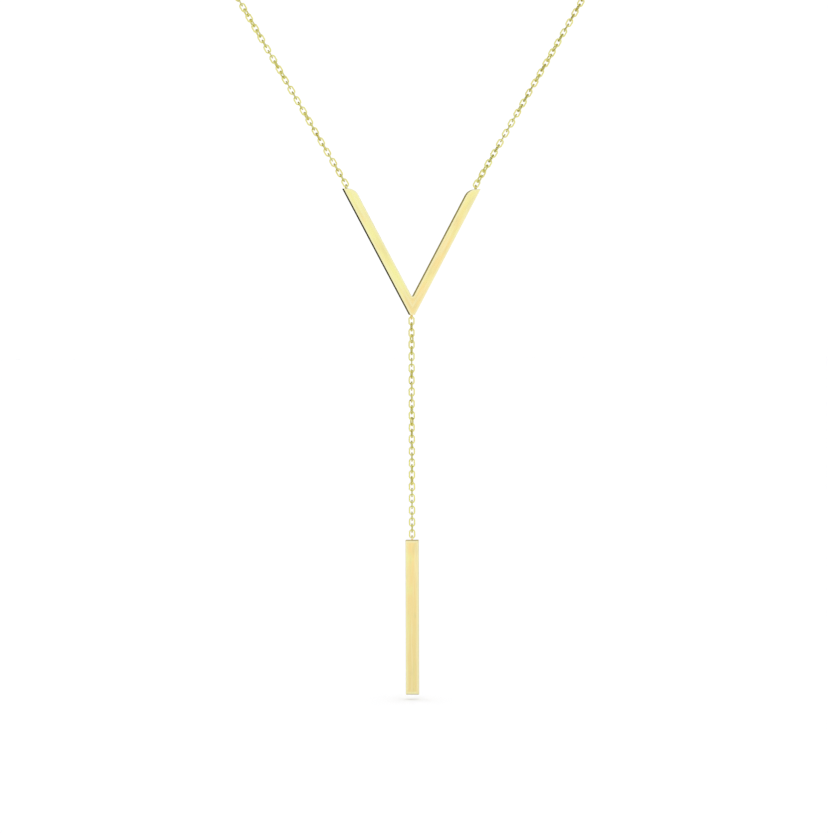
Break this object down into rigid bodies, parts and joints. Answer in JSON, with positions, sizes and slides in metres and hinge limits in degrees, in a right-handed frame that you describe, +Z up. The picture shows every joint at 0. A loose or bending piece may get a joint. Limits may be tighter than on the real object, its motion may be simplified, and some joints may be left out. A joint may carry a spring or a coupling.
{
  "type": "y-shaped bar necklace",
  "caption": "Y necklace of fine cable chain: a polished V-shaped gold bar at the front, with a long vertical bar hanging below it on a short drop chain, and a ring clasp at the nape.",
  "frame": {"origin": "the nape, at the middle of the clasp ring, on the side that lies against the back of the neck", "axes": "+Z is up, +X is to the right as seen from the front, and the front of the necklace faces -Y, so the neck stands in the loop on the -Y side of the origin"},
  "size_m": [0.1068, 0.1, 0.2039],
  "materials": {
    "polished_gold": "mirror polished yellow gold",
    "chain_gold": "bright drawn wire, yellow gold"
  },
  "bodies": {
    "necklace": {"v_bar": "polished_gold", "drop_chain": "chain_gold", "chain_left": "chain_gold", "chain_right": "chain_gold", "chain_left_back": "chain_gold", "chain_right_back": "chain_gold", "clasp": "chain_gold"},
    "hanging_bar": {"drop_bar": "polished_gold"}
  },
  "joints": [
    {"name": "bar_swing", "type": "hinge", "parent": "necklace", "child": "hanging_bar", "pos_m": [0, -0.0977, -0.16984], "axis": [0.9511, -0.309, 0], "range_deg": [-80, 80]}
  ]
}
